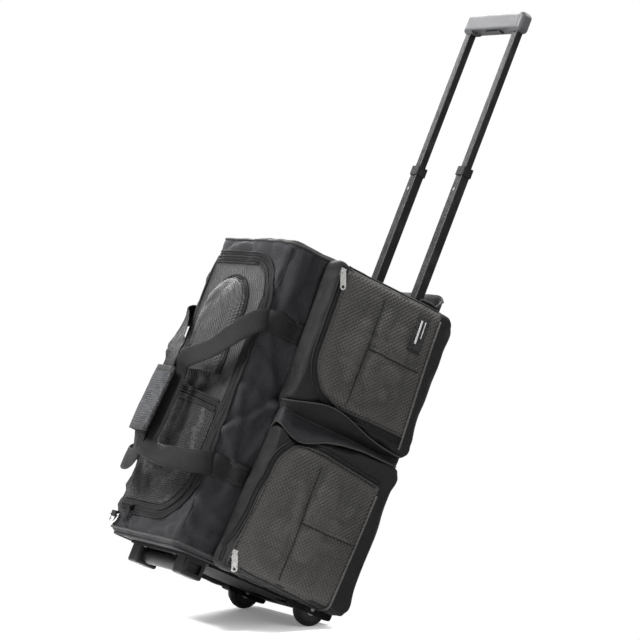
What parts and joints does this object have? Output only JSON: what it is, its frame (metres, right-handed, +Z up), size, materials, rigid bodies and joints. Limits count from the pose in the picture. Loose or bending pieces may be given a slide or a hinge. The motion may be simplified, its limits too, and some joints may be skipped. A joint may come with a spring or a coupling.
{
  "type": "wheeled duffel bag",
  "caption": "Upright wheeled duffel bag with a zipped front lid, side pockets, wrapped carry handle, telescopic pull handle, corner wheels and a stand foot.",
  "frame": {"origin": "on the floor, under the middle of the part's bounding box", "axes": "+Z up along the bag's length and its pull handle, +X along the wheels' axle towards the near pockets, -Y towards the zipped lid and the carry handle"},
  "size_m": [0.3404, 0.422, 1.144],
  "materials": {
    "shell_fabric": "black woven polyester",
    "pocket_fabric": "dark grey dobby weave",
    "lid_fabric": "light grey dobby weave",
    "net_mesh": "knitted net",
    "webbing": "woven webbing",
    "wrap_fabric": "ribbed knit",
    "zip_tape": "zip tape with coil",
    "label": "woven label",
    "lining": "plain lining",
    "board": "sheet stiffener",
    "tube_black": "black anodised",
    "black_plastic": "fine texture",
    "grip_plastic": "soft-touch",
    "button_plastic": "fine texture",
    "tyre_rubber": "matt",
    "hub_plastic": "satin",
    "steel": "zinc plated",
    "nickel": "nickel plated",
    "black_zinc": "black plated"
  },
  "bodies": {
    "bag": {"near_side_panel": "shell_fabric", "far_side_panel": "shell_fabric", "top_end_panel": "shell_fabric", "bottom_end_panel": "shell_fabric", "back_panel": "shell_fabric", "front_rim": "shell_fabric", "main_zip": "zip_tape", "blank_label": "label", "handle_lining": "lining", "back_board": "board", "outer_tubes": "tube_black", "tube_bracket": "black_plastic", "handle_bezel": "black_plastic", "handle_hood": "shell_fabric", "wheel_axles": "steel", "base_plate": "black_plastic", "stand_foot": "black_plastic", "screws": "steel", "strap_tails": "webbing", "ring_tabs": "webbing", "near_upper_pocket": "shell_fabric", "near_upper_pocket_panel": "pocket_fabric", "near_lower_pocket": "shell_fabric", "near_lower_pocket_panel": "pocket_fabric", "near_wheel_housing": "black_plastic", "far_upper_pocket": "shell_fabric", "far_upper_pocket_panel": "pocket_fabric", "far_lower_pocket": "shell_fabric", "far_lower_pocket_panel": "pocket_fabric", "far_wheel_housing": "black_plastic"},
    "lid": {"lid_panel": "lid_fabric", "lid_pouch": "lid_fabric", "lid_mesh_pocket": "net_mesh"},
    "near_loop": {"near_strap": "webbing"},
    "far_loop": {"far_strap": "webbing", "grip_wrap": "wrap_fabric"},
    "lower_stage": {"lower_tubes": "tube_black", "tube_collars": "black_plastic", "lock_pins": "steel"},
    "upper_stage": {"upper_tubes": "tube_black", "grip": "grip_plastic"},
    "button": {"release_button": "button_plastic"},
    "near_wheel": {"near_tyre": "tyre_rubber", "near_hub": "hub_plastic", "near_bearings": "steel"},
    "far_wheel": {"far_tyre": "tyre_rubber", "far_hub": "hub_plastic", "far_bearings": "steel"},
    "top_d_ring": {"top_ring": "nickel"},
    "bottom_d_ring": {"bottom_ring": "nickel"},
    "near_upper_zip_slider": {"near_upper_slider": "nickel"},
    "near_upper_zip_pull": {"near_upper_pull": "nickel"},
    "near_lower_zip_slider": {"near_lower_slider": "nickel"},
    "near_lower_zip_pull": {"near_lower_pull": "nickel"},
    "far_upper_zip_slider": {"far_upper_slider": "nickel"},
    "far_upper_zip_pull": {"far_upper_pull": "nickel"},
    "far_lower_zip_slider": {"far_lower_slider": "nickel"},
    "far_lower_zip_pull": {"far_lower_pull": "nickel"},
    "main_zip_slider": {"main_slider": "black_zinc"},
    "main_zip_pull": {"main_pull": "black_zinc"}
  },
  "joints": [
    {"name": "lid_hinge", "type": "hinge", "parent": "bag", "child": "lid", "pos_m": [-0.1043, -0.1393, 0.314], "axis": [0, 0, -1], "range_deg": [0, 90]},
    {"name": "near_handle", "type": "hinge", "parent": "bag", "child": "near_loop", "pos_m": [0.1275, -0.135, 0.311], "axis": [0, 0, 1], "range_deg": [0, 190]},
    {"name": "far_handle", "type": "hinge", "parent": "bag", "child": "far_loop", "pos_m": [-0.1275, -0.135, 0.311], "axis": [0, 0, -1], "range_deg": [0, 190]},
    {"name": "lower_stage_slide", "type": "slide", "parent": "bag", "child": "lower_stage", "axis": [0, 0, 1], "range_m": [-0.225, 0]},
    {"name": "upper_stage_slide", "type": "slide", "parent": "lower_stage", "child": "upper_stage", "axis": [0, 0, 1], "range_m": [-0.255, 0]},
    {"name": "release_button_press", "type": "slide", "parent": "upper_stage", "child": "button", "axis": [0, 0, 1], "range_m": [0, 0.004], "stiffness_N_per_m": 300, "springref_m": -0.002},
    {"name": "near_wheel_spin", "type": "hinge", "parent": "bag", "child": "near_wheel", "pos_m": [0.112, 0.153, 0.03], "axis": [1, 0, 0], "continuous": true},
    {"name": "far_wheel_spin", "type": "hinge", "parent": "bag", "child": "far_wheel", "pos_m": [-0.112, 0.153, 0.03], "axis": [1, 0, 0], "continuous": true},
    {"name": "top_ring_swing", "type": "hinge", "parent": "bag", "child": "top_d_ring", "pos_m": [-0.06, -0.095, 0.5885], "axis": [-1, 0, 0], "range_deg": [0, 165]},
    {"name": "bottom_ring_swing", "type": "hinge", "parent": "bag", "child": "bottom_d_ring", "pos_m": [-0.108, -0.1425, 0.064], "axis": [-1, 0, 0], "range_deg": [0, 110]},
    {"name": "near_upper_zip", "type": "slide", "parent": "bag", "child": "near_upper_zip_slider", "axis": [0, 0, -1], "range_m": [0, 0.16]},
    {"name": "near_upper_pull_swing", "type": "hinge", "parent": "near_upper_zip_slider", "child": "near_upper_zip_pull", "pos_m": [0.167, -0.052, 0.561], "axis": [1, 0, 0], "range_deg": [-80, 80]},
    {"name": "near_lower_zip", "type": "slide", "parent": "bag", "child": "near_lower_zip_slider", "axis": [0, 0, 1], "range_m": [0, 0.16]},
    {"name": "near_lower_pull_swing", "type": "hinge", "parent": "near_lower_zip_slider", "child": "near_lower_zip_pull", "pos_m": [0.167, -0.052, 0.058], "axis": [1, 0, 0], "range_deg": [-80, 80]},
    {"name": "far_upper_zip", "type": "slide", "parent": "bag", "child": "far_upper_zip_slider", "axis": [0, 0, -1], "range_m": [0, 0.16]},
    {"name": "far_upper_pull_swing", "type": "hinge", "parent": "far_upper_zip_slider", "child": "far_upper_zip_pull", "pos_m": [-0.167, -0.052, 0.561], "axis": [1, 0, 0], "range_deg": [-80, 80]},
    {"name": "far_lower_zip", "type": "slide", "parent": "bag", "child": "far_lower_zip_slider", "axis": [0, 0, 1], "range_m": [0, 0.16]},
    {"name": "far_lower_pull_swing", "type": "hinge", "parent": "far_lower_zip_slider", "child": "far_lower_zip_pull", "pos_m": [-0.167, -0.052, 0.058], "axis": [1, 0, 0], "range_deg": [-80, 80]},
    {"name": "main_zip_run", "type": "slide", "parent": "bag", "child": "main_zip_slider", "axis": [1, 0, 0], "range_m": [0, 0.09]},
    {"name": "main_pull_swing", "type": "hinge", "parent": "main_zip_slider", "child": "main_zip_pull", "pos_m": [-0.06, -0.145, 0.081], "axis": [0, 1, 0], "range_deg": [-80, 80]}
  ],
  "couplings": [
    {"joint": "near_handle", "follows": "lid_hinge", "ratio": 2.1},
    {"joint": "far_handle", "follows": "lid_hinge", "ratio": 2.1}
  ]
}
